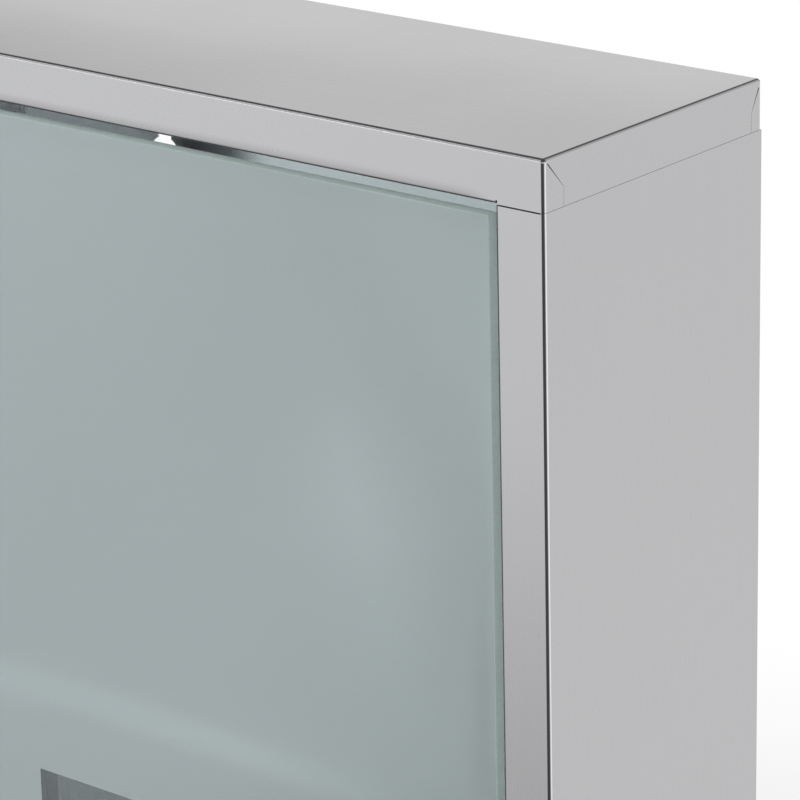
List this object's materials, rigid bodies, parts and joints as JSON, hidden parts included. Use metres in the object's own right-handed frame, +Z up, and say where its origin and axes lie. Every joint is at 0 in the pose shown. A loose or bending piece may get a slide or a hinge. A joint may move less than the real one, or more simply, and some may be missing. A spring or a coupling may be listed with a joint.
{
  "type": "medicine cabinet",
  "caption": "Wall-hung sheet-steel medicine cabinet with folded lid and sides, inset frosted glass door on corner pivots, cam lock with key, magnetic catch and steel shelves.",
  "frame": {"origin": "on the back face that lies against the wall, midway between the round entries of the hanging keyholes", "axes": "+X across the front to the viewer's right, +Y into the wall so the door faces -Y, +Z up"},
  "size_m": [0.35, 0.15, 0.66],
  "materials": {
    "polished_steel": "satin polished stainless sheet",
    "door_glass": "clear float glass with ground green edges",
    "frosting": "fine matt frosting",
    "hinge_chrome": "satin chrome",
    "lock_chrome": "bright chrome",
    "zinc_steel": "zinc plated",
    "clear_pad": "translucent plastic pad",
    "black_nylon": "moulded nylon",
    "ferrite": "sintered magnet"
  },
  "bodies": {
    "cabinet": {"top_lid": "polished_steel", "bottom_tray": "polished_steel", "left_side": "polished_steel", "right_side": "polished_steel", "back_panel": "polished_steel", "upper_shelf": "polished_steel", "lower_shelf": "polished_steel", "upper_shelf_rails": "polished_steel", "lower_shelf_rails": "polished_steel", "upper_pivot_bush": "black_nylon", "lower_pivot_bush": "black_nylon", "upper_pivot_plate": "zinc_steel", "lower_pivot_plate": "zinc_steel", "catch_body": "black_nylon", "catch_magnet": "ferrite", "catch_pole_plates": "zinc_steel", "catch_screws": "zinc_steel"},
    "door": {"door_glass": "door_glass", "frosted_film": "frosting", "cross_film": "frosting", "upper_hinge_clamp": "hinge_chrome", "lower_hinge_clamp": "hinge_chrome", "upper_clamp_pads": "clear_pad", "lower_clamp_pads": "clear_pad", "upper_clamp_screws": "zinc_steel", "lower_clamp_screws": "zinc_steel", "upper_pivot_pin": "zinc_steel", "lower_pivot_pin": "zinc_steel", "lock_housing": "lock_chrome", "lock_washers": "black_nylon", "lock_nut": "zinc_steel", "strike_plate": "zinc_steel"},
    "lock_plug": {"lock_cylinder": "lock_chrome", "lock_cam": "zinc_steel", "cam_screw": "zinc_steel"},
    "key": {"door_key": "lock_chrome"}
  },
  "joints": [
    {"name": "door_swing", "type": "hinge", "parent": "cabinet", "child": "door", "pos_m": [-0.141, -0.113, 0], "axis": [0, 0, -1], "range_deg": [0, 110]},
    {"name": "lock_turn", "type": "hinge", "parent": "door", "child": "lock_plug", "pos_m": [0.131, -0.12, -0.26], "axis": [0, -1, 0], "range_deg": [0, 90]},
    {"name": "key_slide", "type": "slide", "parent": "lock_plug", "child": "key", "axis": [0, -1, 0], "range_m": [0, 0.025]}
  ]
}
